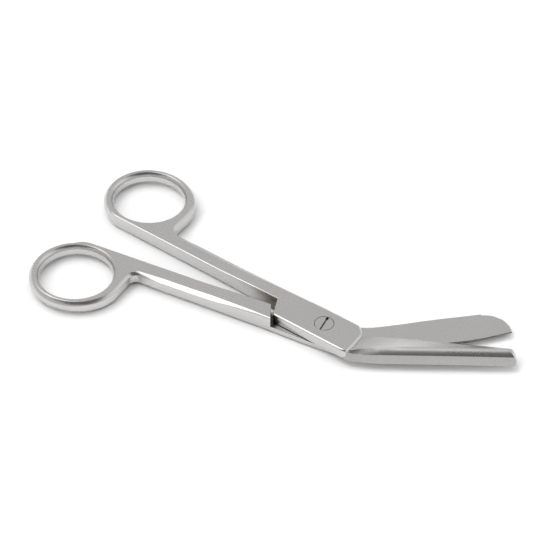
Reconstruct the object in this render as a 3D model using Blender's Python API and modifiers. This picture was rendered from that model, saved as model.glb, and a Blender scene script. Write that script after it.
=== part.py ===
"""Episiotomy scissors: two steel forgings that cross at a half-lap joint and turn about one slotted screw.

Lengths are in metres. The origin is on the screw's axis, in the plane of the underside. +Z is up, and +X runs
from the screw towards the tips, along the line where the two closed shanks meet. The lower half lies along X.
The upper half is drawn closed, over the lower one, and then opened about the screw by REST_OPENING.

A half is drawn in x, u and z: u is the distance outwards from the line where the shanks meet, towards the
half's own finger ring, and z is the distance from its exposed face. So the lower half's ring lies at -Y and
the upper half's at +Y, and the joint is a half lap: each half keeps its own share of the thickness there.
"""
import math

import bmesh
import bpy
from mathutils import Matrix, Vector

# The joint
REST_OPENING = math.radians(10.35)
LOWER_PLATE = 0.0022
UPPER_PLATE = 0.00315
JOINT_GAP = 0.00025
PLATE_INNER_SIDE = 0.0060
PLATE_OUTER_SIDE = 0.0059
PLATE_REAR = 0.0146
PLATE_REAR_SLANT = 0.0028
PLATE_FRONT = 0.01275
PLATE_FRONT_SLANT = 0.00075
PLATE_OUTER_CORNER = 0.0030
PLATE_INNER_CORNER = 0.0008
SHOULDER_CLEARANCE = 0.0003

# The shanks. The walls are where their flat inner sides lie, outwards from the centre line.
UPPER_WALL = 0.00015
LOWER_WALL = -0.00045
SHANK_OUTER_SIDE = 0.0053
TAPER_START = 0.0200
TAPER_END = 0.0430
HANDLE_THICKNESS = 0.0043
CROTCH_X = 0.0629
CROTCH_RADIUS = 0.0022

# The finger rings
RING_X = 0.0772
HOLE_LENGTH = 0.0226
UPPER_HOLE_WIDTH = 0.0218
LOWER_HOLE_WIDTH = 0.0225
RING_SECTION_END = 0.0030
RING_SECTION_SIDE = 0.0026
RING_SECTION_FLANK = 0.0020
RING_SECTION_WEB = 0.0037
RING_WEB_END = -20.0
HOLE_ROUNDING = 0.0012

# How far each edge is rounded, before the handle is thinned
WIDE_ROUNDING = 0.0024
RING_ROUNDING = 0.0014
WEB_ROUNDING = 0.0019
JOINT_ROUNDING = 0.0010
MATING_ROUNDING = 0.0005
CRISP_ROUNDING = 0.0004
ROUNDING_FADE_START = 0.0500
ROUNDING_FADE_END = 0.0200
FRONT_CHAMFER = 0.0008

# The blades, closed. Each pair is a point on the spine's side and the one across from it on the edge's side.
UPPER_BLADE = (
    ((0.0110, -0.0059), (0.0096, 0.0050)),
    ((0.0134, -0.00585), (0.0102, 0.0053)),
    ((0.0150, -0.00545), (0.0106, 0.0055)),
    ((0.0164, -0.00475), (0.0110, 0.0057)),
    ((0.0180, -0.00365), (0.0116, 0.00605)),
    ((0.0270, 0.0028), (0.0209, 0.0113)),
    ((0.0360, 0.0093), (0.0306, 0.0168)),
    ((0.0450, 0.01575), (0.0403, 0.0222)),
    ((0.0505, 0.0197), (0.0462, 0.0256)),
    ((0.0570, 0.0244), (0.0531, 0.0298)),
)
LOWER_BLADE = (
    ((0.0080, 0.0060), (0.0080, -0.0059)),
    ((0.0102, 0.0069), (0.0130, -0.0058)),
    ((0.0124, 0.0081), (0.0164, -0.0030)),
    ((0.0145, 0.0096), (0.0190, -0.0009)),
    ((0.0170, 0.0115), (0.0222, 0.0017)),
    ((0.0194, 0.0133), (0.0253, 0.0043)),
    ((0.0242, 0.0171), (0.0306, 0.0087)),
    ((0.0282, 0.0201), (0.0344, 0.0117)),
    ((0.0320, 0.0229), (0.0385, 0.0143)),
    ((0.0359, 0.0257), (0.0422, 0.0172)),
    ((0.0399, 0.0287), (0.0460, 0.0207)),
    ((0.0436, 0.0315), (0.0491, 0.0239)),
    ((0.0500, 0.0363), (0.0545, 0.0298)),
)
# Round the tips, from the long edge or spine to the square corner
UPPER_TIP = ((0.0463, 0.0257), (0.0474, 0.0262), (0.0487, 0.0265), (0.0501, 0.0263), (0.0513, 0.0256),
             (0.0527, 0.0242), (0.0535, 0.0230), (0.0539, 0.0216), (0.0539, 0.0160))
LOWER_TIP = ((0.0390, 0.02775), (0.0400, 0.0283), (0.0412, 0.0287), (0.0426, 0.02895), (0.0451, 0.0288),
             (0.0470, 0.0280), (0.0485, 0.02695), (0.0501, 0.0249))
UPPER_SPINE = 0.00345
LOWER_SPINE = 0.0022
# A blade's section next to its spine, from the joint face up to the crest: depth from the side, and height
SPINE_SECTION = ((0.0, 0.0), (0.27, 0.65), (0.53, 0.90), (0.60, 0.94), (0.70, 0.975), (0.82, 0.995), (0.94, 1.0))
ROOT_DIP = (0.80, 0.80, 0.88, 0.96)
EDGE_BEVEL_HEIGHT = 0.0006
EDGE_BEVEL_WIDTH = 0.0003
TIP_LEAN = 0.38
HOLLOW_DEPTH = 0.00012

# The screw
HEAD_RADIUS = 0.00285
HEAD_HEIGHT = 0.0014
HEAD_CLEARANCE = 0.00015
HEAD_SEAT_GAP = 0.00025
HEAD_EDGE = 0.00012
SCREW_RADIUS = 0.0018
SCREW_CLEARANCE = 0.0002
SLOT_WIDTH = 0.0006
SLOT_DEPTH = 0.0007
SLOT_ANGLE = math.radians(92.0)
PIT_RADIUS = 0.0005
PIT_OFFSET = 0.0021

# Fineness of the round shapes
RING_STEPS = 64
ROUNDING_STEPS = 4
TAPER_STEPS = 8
SCREW_STEPS = 40
STATION_LENGTH = 0.0035

THICKNESS = LOWER_PLATE + JOINT_GAP + UPPER_PLATE
MIDDLE = THICKNESS / 2
MARGIN = 0.002
MERGE = 0.000002

STEEL = (0.60, 0.595, 0.585, 1.0)
SCREW_STEEL = (0.56, 0.555, 0.545, 1.0)


def clear_scene():
    for item in list(bpy.data.objects):
        bpy.data.objects.remove(item, do_unlink=True)


def new_collection(name):
    collection = bpy.data.collections.new(name)
    bpy.context.scene.collection.children.link(collection)
    return collection


def steel_material(name, colour, roughness):
    material = bpy.data.materials.new(name)
    material.use_nodes = True
    shader = material.node_tree.nodes["Principled BSDF"]
    shader.inputs["Base Color"].default_value = colour
    shader.inputs["Metallic"].default_value = 1.0
    shader.inputs["Roughness"].default_value = roughness
    return material


def object_from_bmesh(name, bm, collection):
    bmesh.ops.recalc_face_normals(bm, faces=bm.faces)
    mesh = bpy.data.meshes.new(name)
    bm.to_mesh(mesh)
    bm.free()
    item = bpy.data.objects.new(name, mesh)
    collection.objects.link(item)
    return item


def baked(item):
    """Replaces an object's mesh with the one its modifiers make, without slivers."""
    graph = bpy.context.evaluated_depsgraph_get()
    mesh = bpy.data.meshes.new_from_object(item.evaluated_get(graph))
    item.modifiers.clear()
    item.data = mesh
    bm = bmesh.new()
    bm.from_mesh(mesh)
    bmesh.ops.remove_doubles(bm, verts=bm.verts, dist=MERGE)
    bmesh.ops.dissolve_degenerate(bm, edges=bm.edges, dist=MERGE)
    bmesh.ops.recalc_face_normals(bm, faces=bm.faces)
    bm.to_mesh(mesh)
    bm.free()
    return item


def cutter_from_bmesh(name, bm, cutters):
    item = object_from_bmesh(name, bm, cutters)
    item.hide_render = True
    item.display_type = "WIRE"
    return item


def boolean(item, other, operation):
    modifier = item.modifiers.new(other.name, "BOOLEAN")
    modifier.operation = operation
    modifier.solver = "EXACT"
    modifier.object = other
    return item


def ellipse_points(x, u, radius_x, radius_u, start, end, steps):
    """Points on an ellipse, from one angle in degrees to another."""
    points = []
    for step in range(steps + 1):
        angle = math.radians(start + (end - start) * step / steps)
        points.append((x + radius_x * math.cos(angle), u + radius_u * math.sin(angle)))
    return points


def corner_points(corner, back, ahead, size):
    """A rounded corner between two directions that lead away from it."""
    corner = Vector(corner)
    start = corner + Vector(back) * size
    end = corner + Vector(ahead) * size
    points = []
    for step in range(5):
        t = step / 4
        points.append(tuple(start.lerp(corner, t).lerp(corner.lerp(end, t), t)))
    return points


def smooth_step(value):
    value = min(max(value, 0.0), 1.0)
    return value * value * (3 - 2 * value)


def loft(bm, rows):
    """Joins closed rows of points, one after another, and closes both ends."""
    rings = [[bm.verts.new(point) for point in row] for row in rows]
    count = len(rings[0])
    for low, high in zip(rings, rings[1:]):
        for i in range(count):
            j = (i + 1) % count
            bm.faces.new((low[i], low[j], high[j], high[i]))
    bm.faces.new(rings[0])
    bm.faces.new(rings[-1])


def inset(points, distances):
    """A closed outline moved inwards, each corner along its own mitre and by its own distance."""
    area = sum(a[0] * b[1] - b[0] * a[1] for a, b in zip(points, points[1:] + points[:1]))
    turn = 1 if area > 0 else -1
    moved = []
    for i, point in enumerate(points):
        before = (Vector(point) - Vector(points[i - 1])).normalized()
        after = (Vector(points[(i + 1) % len(points)]) - Vector(point)).normalized()
        mitre = Vector((-(before + after).y, (before + after).x)).normalized() * turn
        across = Vector((-after.y, after.x)) * turn
        moved.append(Vector(point) + mitre * distances[i] / max(mitre.dot(across), 0.3))
    return moved


# The outline of a half, from the ring to the front of the plate


def ring_centre(wall, hole_width):
    return (-RING_X, wall + RING_SECTION_FLANK + hole_width / 2)


def ring_outline(wall, hole_width):
    """The ring's outside, from the flat inner flank round to where the web meets the shank."""
    centre = ring_centre(wall, hole_width)
    end = HOLE_LENGTH / 2 + RING_SECTION_END
    web = HOLE_LENGTH / 2 + RING_SECTION_WEB
    side = hole_width / 2 + RING_SECTION_SIDE
    flank = math.degrees(math.asin((centre[1] - wall) / side))
    quarter = RING_STEPS // 4
    points = ellipse_points(*centre, end, side, 180 + flank, 180, quarter)
    points += ellipse_points(*centre, end, side, 180, 90, quarter)[1:]
    points += ellipse_points(*centre, web, side, 90, RING_WEB_END, quarter)[1:]
    return points


def crotch_outline():
    """The hollow fillet between the ring's outside and the shank's outer side."""
    centre = (-CROTCH_X + CROTCH_RADIUS, SHANK_OUTER_SIDE + CROTCH_RADIUS)
    return ellipse_points(*centre, CROTCH_RADIUS, CROTCH_RADIUS, 185, 270, 6)


def outer_side_outline(front_x):
    """The shank's outer side and the plate's, which stands a little further out."""
    points = []
    for x in (ROUNDING_FADE_START, TAPER_END, (TAPER_START + TAPER_END) / 2, TAPER_START):
        points.append((-x, SHANK_OUTER_SIDE))
    for step in range(1, 5):
        t = step / 4
        u = SHANK_OUTER_SIDE + (PLATE_OUTER_SIDE - SHANK_OUTER_SIDE) * smooth_step(t)
        points.append((-TAPER_START * (1 - t), u))
    points += corner_points((front_x, PLATE_OUTER_SIDE), (-1, 0), (0, -1), PLATE_OUTER_CORNER)
    return points


def inner_side_outline(wall, front_x):
    """The plate's inner side, its slanted rear edge and the flat wall where the shanks meet."""
    rear = Vector((-PLATE_REAR, -PLATE_INNER_SIDE))
    foot = Vector((-PLATE_REAR - PLATE_REAR_SLANT, 0))
    slant = (foot - rear).normalized()
    foot = rear + slant * (wall - rear.y) / slant.y
    points = corner_points((front_x, -PLATE_INNER_SIDE), (0, 1), (-1, 0), PLATE_INNER_CORNER)
    points += corner_points(rear, (1, 0), slant, PLATE_INNER_CORNER)
    points.append(tuple(foot))
    for x in (TAPER_START, (TAPER_START + TAPER_END) / 2, TAPER_END, CROTCH_X):
        points.append((-x, wall))
    return points


def half_outline(wall, hole_width, front_outer, front_inner):
    """The whole outline, each point with its rounding on the exposed face and on the face that mates."""
    corners = []
    for point in ring_outline(wall, hole_width):
        web = smooth_step((point[0] + RING_X) / (RING_X - CROTCH_X))
        rounding = RING_ROUNDING + (WEB_ROUNDING - RING_ROUNDING) * web
        corners.append((point, rounding, rounding))
    fillet = crotch_outline()
    for step, point in enumerate(fillet):
        rounding = WEB_ROUNDING + (WIDE_ROUNDING - WEB_ROUNDING) * step / (len(fillet) - 1)
        corners.append((point, rounding, rounding))
    for point in outer_side_outline(front_outer):
        fade = (-point[0] - ROUNDING_FADE_END) / (ROUNDING_FADE_START - ROUNDING_FADE_END)
        fade = min(max(fade, 0.0), 1.0)
        exposed = JOINT_ROUNDING + (WIDE_ROUNDING - JOINT_ROUNDING) * fade
        mating = MATING_ROUNDING + (WIDE_ROUNDING - MATING_ROUNDING) * fade
        corners.append((point, exposed, mating))
    inner = inner_side_outline(wall, front_inner)
    front_start = Vector(corners[-1][0])
    for share in (0.15, 0.85):
        corners.append((tuple(front_start.lerp(Vector(inner[0]), share)), FRONT_CHAMFER, MATING_ROUNDING))
    for point in inner:
        corners.append((point, CRISP_ROUNDING, CRISP_ROUNDING))
    return corners


def half_slab(name, collection, corners):
    """Ring, shank and plate at the joint's full thickness, with their edges rounded and the ring end thinned."""
    outline = [point for point, exposed, mating in corners]
    rows = []
    for step in range(2 * ROUNDING_STEPS + 2):
        on_mating = step > ROUNDING_STEPS
        turn = step - ROUNDING_STEPS - 1 if on_mating else ROUNDING_STEPS - step
        angle = math.radians(90.0 * turn / ROUNDING_STEPS)
        roundings = [mating if on_mating else exposed for point, exposed, mating in corners]
        points = inset(outline, [rounding * (1 - math.cos(angle)) for rounding in roundings])
        depths = [rounding * (1 - math.sin(angle)) for rounding in roundings]
        rows.append([(p.x, p.y, THICKNESS - d if on_mating else d) for p, d in zip(points, depths)])
    bm = bmesh.new()
    loft(bm, rows)
    slab = object_from_bmesh(name, bm, collection)
    thin_handle(slab)
    return slab


def thin_handle(slab):
    """Thins the slab about its middle plane, in straight stretches that follow a smooth taper."""
    bm = bmesh.new()
    bm.from_mesh(slab.data)
    for step in range(TAPER_STEPS + 1):
        x = -TAPER_START - (TAPER_END - TAPER_START) * step / TAPER_STEPS
        geometry = bm.verts[:] + bm.edges[:] + bm.faces[:]
        bmesh.ops.bisect_plane(bm, geom=geometry, dist=0.00001, plane_co=(x, 0, 0), plane_no=(1, 0, 0))
    for vertex in bm.verts:
        place = (-vertex.co.x - TAPER_START) / (TAPER_END - TAPER_START) * TAPER_STEPS
        place = min(max(place, 0.0), TAPER_STEPS)
        low = smooth_step(math.floor(place) / TAPER_STEPS)
        high = smooth_step(math.ceil(place) / TAPER_STEPS)
        taper = low + (high - low) * (place - math.floor(place))
        share = 1 + (HANDLE_THICKNESS / THICKNESS - 1) * taper
        vertex.co.z = MIDDLE + (vertex.co.z - MIDDLE) * share
    bm.to_mesh(slab.data)
    bm.free()


# The blades


def finer_stations(pairs):
    """The same pairs of points, with more between the ones that lie far apart."""
    stations = []
    for (spine_a, edge_a), (spine_b, edge_b) in zip(pairs, pairs[1:]):
        span = (Vector(spine_b) - Vector(spine_a)).length
        steps = max(1, round(span / STATION_LENGTH))
        for step in range(steps):
            t = step / steps
            stations.append((Vector(spine_a).lerp(Vector(spine_b), t), Vector(edge_a).lerp(Vector(edge_b), t)))
    stations.append((Vector(pairs[-1][0]), Vector(pairs[-1][1])))
    return stations


def blade_section(spine, edge, plate, crest, side):
    """One closed row of points across a blade: joint side, facet, crest, spine."""
    width = (edge - spine).length
    across = (edge - spine) / width
    depth = SPINE_SECTION[-1][0] * crest
    slope = (crest - EDGE_BEVEL_HEIGHT) / (width - EDGE_BEVEL_WIDTH - depth)
    beyond = width + MARGIN / 2
    profile = [(beyond, -MARGIN), (beyond, EDGE_BEVEL_HEIGHT - slope * (beyond - width + EDGE_BEVEL_WIDTH))]
    for share in (0.75, 0.5, 0.25):
        height = crest - slope * share * (width - depth)
        profile.append((depth + share * (width - depth), height - HOLLOW_DEPTH * 4 * share * (1 - share)))
    for step_in, height in reversed(SPINE_SECTION):
        profile.append((step_in * crest, height * crest))
    profile.append((-MARGIN * SPINE_SECTION[1][0] / SPINE_SECTION[1][1], -MARGIN))
    row = []
    for distance, height in profile:
        point = spine + across * distance
        row.append((point.x, side * point.y, plate - height))
    return row


def blade_outline(pairs, tip, tip_on_edge):
    """The blade seen from above: its edge and the round of its tip, with room to spare behind the spine."""
    spines = [Vector(spine) for spine, edge in pairs]
    edges = [Vector(a[1]).lerp(Vector(b[1]), 0.5) for a, b in zip(pairs, pairs[1:])]
    outline = []
    if tip_on_edge:
        outline += [point for point in edges if point.x < tip[0][0] - MARGIN / 2]
        outline += [Vector(point) for point in tip]
        outline += [Vector((tip[-1][0], spines[-3].y - 2 * MARGIN)), spines[2] + Vector((MARGIN, -2 * MARGIN))]
        outline += [spines[0] + Vector((-MARGIN, -2 * MARGIN)), edges[0] + Vector((-MARGIN, 0))]
    else:
        outline += [point for point in edges if point.x < tip[-1][0] - MARGIN]
        outline += [Vector(point) for point in reversed(tip)]
        direction = (Vector(tip[1]) - Vector(tip[0])).normalized()
        outline.append(Vector(tip[0]) - direction * 2 * MARGIN + Vector((-MARGIN / 2, 2 * MARGIN)))
        outline += [spines[1] + Vector((0, 3 * MARGIN)), spines[0] + Vector((-MARGIN, 3 * MARGIN))]
        outline.append(edges[0] + Vector((-MARGIN, 0)))
    return outline


def blade(name, pairs, tip, tip_on_edge, crest, plate, side, cutters):
    """A ground blade, with a margin past the joint face that the lap cut takes off."""
    stations = finer_stations(pairs)
    rows = []
    for spine, edge in stations:
        place = 0
        while place < len(pairs) - 2 and spine.x >= pairs[place + 1][0][0] - 1e-9:
            place += 1
        dip = ROOT_DIP[place] if place < len(ROOT_DIP) else 1.0
        rows.append(blade_section(spine, edge, plate, crest * dip, side))
    bm = bmesh.new()
    loft(bm, rows)
    body = object_from_bmesh(name, bm, cutters)

    outline = [tuple(point) for point in blade_outline(pairs, tip, tip_on_edge)]
    levels = (
        (0.0, plate + 2 * MARGIN),
        (0.0, plate),
        (EDGE_BEVEL_WIDTH, plate - EDGE_BEVEL_HEIGHT),
        (TIP_LEAN * crest, plate - crest - MARGIN / 4),
    )
    bm = bmesh.new()
    rows = []
    for distance, z in levels:
        rows.append([(p.x, side * p.y, z) for p in inset(outline, [distance] * len(outline))])
    loft(bm, rows)
    trimmer = cutter_from_bmesh(name + "_outline", bm, cutters)
    baked(boolean(body, trimmer, "INTERSECT"))
    body.hide_render = True
    body.display_type = "WIRE"
    return body


# Cutters


def lap_cutter(name, plate, cutters):
    """All that lies past the half's own share of the joint, in front of its shoulder."""
    slant = PLATE_REAR_SLANT / PLATE_INNER_SIDE
    reach = 0.040
    foot = -PLATE_REAR - PLATE_REAR_SLANT - SHOULDER_CLEARANCE
    outline = ((foot - slant * 0.010, -0.010), (foot - slant * 0.010, -reach), (2 * reach, -reach),
               (2 * reach, reach), (foot + slant * 0.010, reach), (foot + slant * 0.010, 0.010))
    bm = bmesh.new()
    loft(bm, [[(x, u, z) for x, u in outline] for z in (plate, THICKNESS + MARGIN)])
    return cutter_from_bmesh(name, bm, cutters)


def hole_cutter(name, wall, hole_width, cutters):
    """The finger hole, flared where its rims are rounded."""
    half = HANDLE_THICKNESS / 2
    levels = [(0.0, half - HOLE_ROUNDING)]
    for step in range(1, ROUNDING_STEPS + 1):
        angle = math.radians(78.0 * step / ROUNDING_STEPS)
        levels.append((HOLE_ROUNDING * (1 - math.cos(angle)), half - HOLE_ROUNDING * (1 - math.sin(angle))))
    levels.append((levels[-1][0], half + MARGIN))
    levels = [(flare, -height) for flare, height in reversed(levels)] + levels
    rows = []
    for flare, height in levels:
        radii = (HOLE_LENGTH / 2 + flare, hole_width / 2 + flare)
        points = ellipse_points(*ring_centre(wall, hole_width), *radii, 0, 360, RING_STEPS)[:-1]
        rows.append([(x, u, MIDDLE + height) for x, u in points])
    bm = bmesh.new()
    loft(bm, rows)
    return cutter_from_bmesh(name, bm, cutters)


def turned(name, profile, collection):
    """A solid turned about Z from a profile of radii and heights that starts and ends on the axis."""
    bm = bmesh.new()
    verts = [bm.verts.new((radius, 0.0, height)) for radius, height in profile]
    for a, b in zip(verts, verts[1:]):
        bm.edges.new((a, b))
    mesh = bpy.data.meshes.new(name)
    bm.to_mesh(mesh)
    bm.free()
    item = bpy.data.objects.new(name, mesh)
    collection.objects.link(item)
    screw = item.modifiers.new("turned", "SCREW")
    screw.steps = SCREW_STEPS
    screw.render_steps = SCREW_STEPS
    screw.use_merge_vertices = True
    screw.merge_threshold = 0.00001
    screw.use_normal_calculate = True
    return baked(item)


def turned_cutter(name, profile, cutters):
    item = turned(name, profile, cutters)
    item.hide_render = True
    item.display_type = "WIRE"
    return item


# The pieces


def place_half(item, lower):
    """Turns the half's own x, u and z into the assembly's closed X, Y and Z."""
    if lower:
        matrix = Matrix.Diagonal((1, -1, 1, 1))
    else:
        matrix = Matrix.Translation((0, 0, THICKNESS)) @ Matrix.Diagonal((1, 1, -1, 1))
    item.data.transform(matrix)
    item.data.flip_normals()
    item.data.validate()
    return item


def make_lower_half(parts, cutters):
    front = PLATE_FRONT - PLATE_FRONT_SLANT
    half = half_slab("lower_half", parts, half_outline(LOWER_WALL, LOWER_HOLE_WIDTH, front, front))
    shape = blade("lower_blade", LOWER_BLADE, LOWER_TIP, False, LOWER_SPINE, LOWER_PLATE, -1, cutters)
    boolean(half, shape, "UNION")
    boolean(half, lap_cutter("lower_lap", LOWER_PLATE, cutters), "DIFFERENCE")
    boolean(half, hole_cutter("lower_finger_hole", LOWER_WALL, LOWER_HOLE_WIDTH, cutters), "DIFFERENCE")
    radius = SCREW_RADIUS + SCREW_CLEARANCE
    bore = ((0, -MARGIN), (radius, -MARGIN), (radius, THICKNESS), (0, THICKNESS))
    boolean(half, turned_cutter("lower_bore", bore, cutters), "DIFFERENCE")
    baked(half)
    return place_half(half, True)


def make_upper_half(parts, cutters):
    front = (PLATE_FRONT - PLATE_FRONT_SLANT, PLATE_FRONT + PLATE_FRONT_SLANT)
    half = half_slab("upper_half", parts, half_outline(UPPER_WALL, UPPER_HOLE_WIDTH, *front))
    shape = blade("upper_blade", UPPER_BLADE, UPPER_TIP, True, UPPER_SPINE, UPPER_PLATE, 1, cutters)
    boolean(half, shape, "UNION")
    boolean(half, lap_cutter("upper_lap", UPPER_PLATE, cutters), "DIFFERENCE")
    boolean(half, hole_cutter("upper_finger_hole", UPPER_WALL, UPPER_HOLE_WIDTH, cutters), "DIFFERENCE")
    radius = SCREW_RADIUS + SCREW_CLEARANCE
    seat = HEAD_RADIUS + HEAD_CLEARANCE
    depth = HEAD_HEIGHT + HEAD_SEAT_GAP
    bore = ((0, -MARGIN), (seat, -MARGIN), (seat, depth), (radius, depth), (radius, THICKNESS), (0, THICKNESS))
    boolean(half, turned_cutter("upper_bore", bore, cutters), "DIFFERENCE")
    baked(half)
    place_half(half, False)
    half.rotation_euler = (0, 0, -REST_OPENING)
    return half


def make_screw(parts, cutters):
    top = THICKNESS
    profile = ((0, 0), (SCREW_RADIUS, 0), (SCREW_RADIUS, top - HEAD_HEIGHT), (HEAD_RADIUS, top - HEAD_HEIGHT),
               (HEAD_RADIUS, top - HEAD_EDGE), (HEAD_RADIUS - HEAD_EDGE, top), (0, top))
    screw = turned("pivot_screw", profile, parts)
    bm = bmesh.new()
    bmesh.ops.create_cube(bm, size=1.0)
    slot_size = (3 * HEAD_RADIUS, SLOT_WIDTH, 2 * SLOT_DEPTH)
    bmesh.ops.scale(bm, vec=slot_size, verts=bm.verts)
    bmesh.ops.rotate(bm, matrix=Matrix.Rotation(SLOT_ANGLE, 3, "Z"), verts=bm.verts)
    bmesh.ops.translate(bm, vec=(0, 0, top), verts=bm.verts)
    boolean(screw, cutter_from_bmesh("slot", bm, cutters), "DIFFERENCE")
    pit = turned_cutter("pit", ((0, top - SLOT_DEPTH), (PIT_RADIUS, top - SLOT_DEPTH), (PIT_RADIUS, top + MARGIN),
                                (0, top + MARGIN)), cutters)
    along = Vector((math.cos(SLOT_ANGLE), math.sin(SLOT_ANGLE), 0)) * PIT_OFFSET
    pit.data.transform(Matrix.Translation(along))
    boolean(screw, pit, "DIFFERENCE")
    baked(screw)
    return screw


def main():
    clear_scene()
    parts = new_collection("episiotomy_scissors")
    cutters = new_collection("cutters")
    lower = make_lower_half(parts, cutters)
    upper = make_upper_half(parts, cutters)
    screw = make_screw(parts, cutters)
    lower.data.materials.append(steel_material("lower_half_steel", STEEL, 0.3))
    upper.data.materials.append(steel_material("upper_half_steel", STEEL, 0.3))
    screw.data.materials.append(steel_material("pivot_screw_steel", SCREW_STEEL, 0.25))


main()
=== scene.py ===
import math

import bmesh
import bpy
from mathutils import Matrix, Vector


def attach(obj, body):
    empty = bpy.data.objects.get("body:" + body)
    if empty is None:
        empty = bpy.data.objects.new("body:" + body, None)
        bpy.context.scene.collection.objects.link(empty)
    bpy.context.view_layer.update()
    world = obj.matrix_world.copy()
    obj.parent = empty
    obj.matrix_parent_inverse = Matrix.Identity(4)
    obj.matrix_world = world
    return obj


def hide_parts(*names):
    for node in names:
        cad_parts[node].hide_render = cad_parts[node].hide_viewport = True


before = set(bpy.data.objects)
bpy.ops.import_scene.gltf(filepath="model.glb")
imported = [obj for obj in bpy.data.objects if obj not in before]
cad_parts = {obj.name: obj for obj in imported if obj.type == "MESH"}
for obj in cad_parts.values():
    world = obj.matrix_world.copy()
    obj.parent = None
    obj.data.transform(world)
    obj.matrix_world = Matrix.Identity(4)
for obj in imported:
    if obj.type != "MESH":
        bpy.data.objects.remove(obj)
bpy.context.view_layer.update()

# Camera
camera = {
    "focal": 3000.0,   # in pixels
    "pixelsPerMillimetre": 3.36,
    "elevation": 43.07,
    "azimuth": 26.73,
    "pivotPixel": (323.94, 336.87),
    "imageSize": 550,
    "sensor": 36.0,
    "clip": (0.05, 20.0),
}


def makeCamera(spec):
    data = bpy.data.cameras.new("camera")
    data.sensor_width = spec["sensor"]
    data.lens = spec["focal"] / spec["imageSize"] * spec["sensor"]
    data.clip_start, data.clip_end = spec["clip"]
    item = bpy.data.objects.new("camera", data)
    bpy.context.scene.collection.objects.link(item)
    tilt = math.radians(spec["elevation"])
    bearing = Matrix.Rotation(math.radians(spec["azimuth"]), 3, "Z")
    right = bearing @ Vector((1, 0, 0))
    forward = bearing @ Vector((0, math.cos(tilt), -math.sin(tilt)))
    up = bearing @ Vector((0, math.sin(tilt), math.cos(tilt)))
    middle = spec["imageSize"] / 2
    distance = spec["focal"] / spec["pixelsPerMillimetre"] / 1000
    x = (spec["pivotPixel"][0] - middle) / spec["focal"] * distance
    y = -(spec["pivotPixel"][1] - middle) / spec["focal"] * distance
    place = -(forward * distance + right * x + up * y)
    axes = Matrix((right, up, -forward)).transposed().to_4x4()
    item.matrix_world = Matrix.Translation(place) @ axes
    bpy.context.scene.camera = item


makeCamera(camera)
print("camera done")

# Floor
floorPaper = {"size": 6.0, "colour": (0.9, 0.9, 0.9, 1), "roughness": 0.9, "specular": 0.2}


def makeFloor(spec):
    s = spec["size"]
    mesh = bpy.data.meshes.new("floor")
    mesh.from_pydata([(-s, -s, 0), (s, -s, 0), (s, s, 0), (-s, s, 0)], [], [(0, 1, 2, 3)])
    item = bpy.data.objects.new("floor", mesh)
    bpy.context.scene.collection.objects.link(item)
    material = bpy.data.materials.new("floor_paper")
    material.use_nodes = True
    shader = material.node_tree.nodes["Principled BSDF"]
    shader.inputs["Base Color"].default_value = spec["colour"]
    shader.inputs["Roughness"].default_value = spec["roughness"]
    shader.inputs["Specular IOR Level"].default_value = spec["specular"]
    mesh.materials.append(material)


makeFloor(floorPaper)

# Lights. Directions are in the picture's own bearings: X to its right, Y away from the camera.
bearing = Matrix.Rotation(math.radians(camera["azimuth"]), 3, "Z")
lights = (
    {"name": "overhead", "at": (-0.1, 0.0, 1.0), "size": (1.6, 1.6), "power": 7.0},
    {"name": "key", "at": (-1.38, -1.28, 1.2), "size": (0.5, 0.5), "power": 9.0},
)


def makeLights(specs):
    for spec in specs:
        data = bpy.data.lights.new(spec["name"], "AREA")
        data.shape = "RECTANGLE"
        data.size = spec["size"][0]
        data.size_y = spec["size"][1]
        data.energy = spec["power"]
        item = bpy.data.objects.new(spec["name"], data)
        bpy.context.scene.collection.objects.link(item)
        at = bearing @ Vector(spec["at"])
        aim = (-at).to_track_quat("-Z", "Y").to_matrix().to_4x4()
        item.matrix_world = Matrix.Translation(at) @ aim
        item.visible_glossy = False   # these two only light the paper; the steel mirrors the room


makeLights(lights)

# Room: pale walls with brighter parts, a bright window up to the left, and a dim ceiling over the camera.
# "inner" and "outer" are degrees from the middle of each patch.
room = {
    "pale": 0.655,
    "patches": (
        {"toward": (0.90, 0.06, 0.40), "inner": 12.0, "outer": 40.0, "level": 1.0},
        {"toward": (0.0, -0.50, 0.866), "inner": 31.0, "outer": 46.0, "level": 0.13},
        {"toward": (-0.42, 0.14, 0.90), "inner": 14.0, "outer": 30.0, "level": 2.4},
        {"toward": (0.0, 0.98, 0.15), "inner": 12.0, "outer": 30.0, "level": 0.76},
        {"toward": (0.0, -0.97, 0.22), "inner": 6.0, "outer": 20.0, "level": 0.75},
    ),
}


def makeRoom(spec):
    world = bpy.data.worlds.new("studio")
    bpy.context.scene.world = world
    world.use_nodes = True
    nodes = world.node_tree.nodes
    links = world.node_tree.links
    direction = nodes.new("ShaderNodeTexCoord").outputs["Generated"]
    level = None
    for patch in spec["patches"]:
        dot = nodes.new("ShaderNodeVectorMath")
        dot.operation = "DOT_PRODUCT"
        links.new(direction, dot.inputs[0])
        dot.inputs[1].default_value = (bearing @ Vector(patch["toward"])).normalized()
        mask = nodes.new("ShaderNodeMapRange")
        mask.interpolation_type = "SMOOTHSTEP"
        mask.inputs["From Min"].default_value = math.cos(math.radians(patch["outer"]))
        mask.inputs["From Max"].default_value = math.cos(math.radians(patch["inner"]))
        links.new(dot.outputs["Value"], mask.inputs["Value"])
        mix = nodes.new("ShaderNodeMix")
        links.new(mask.outputs["Result"], mix.inputs["Factor"])
        if level is None:
            mix.inputs["A"].default_value = spec["pale"]
        else:
            links.new(level, mix.inputs["A"])
        mix.inputs["B"].default_value = patch["level"]
        level = mix.outputs["Result"]
    links.new(level, nodes["Background"].inputs["Color"])


makeRoom(room)
bpy.context.scene.view_settings.view_transform = "Standard"
print("stage done")

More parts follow.
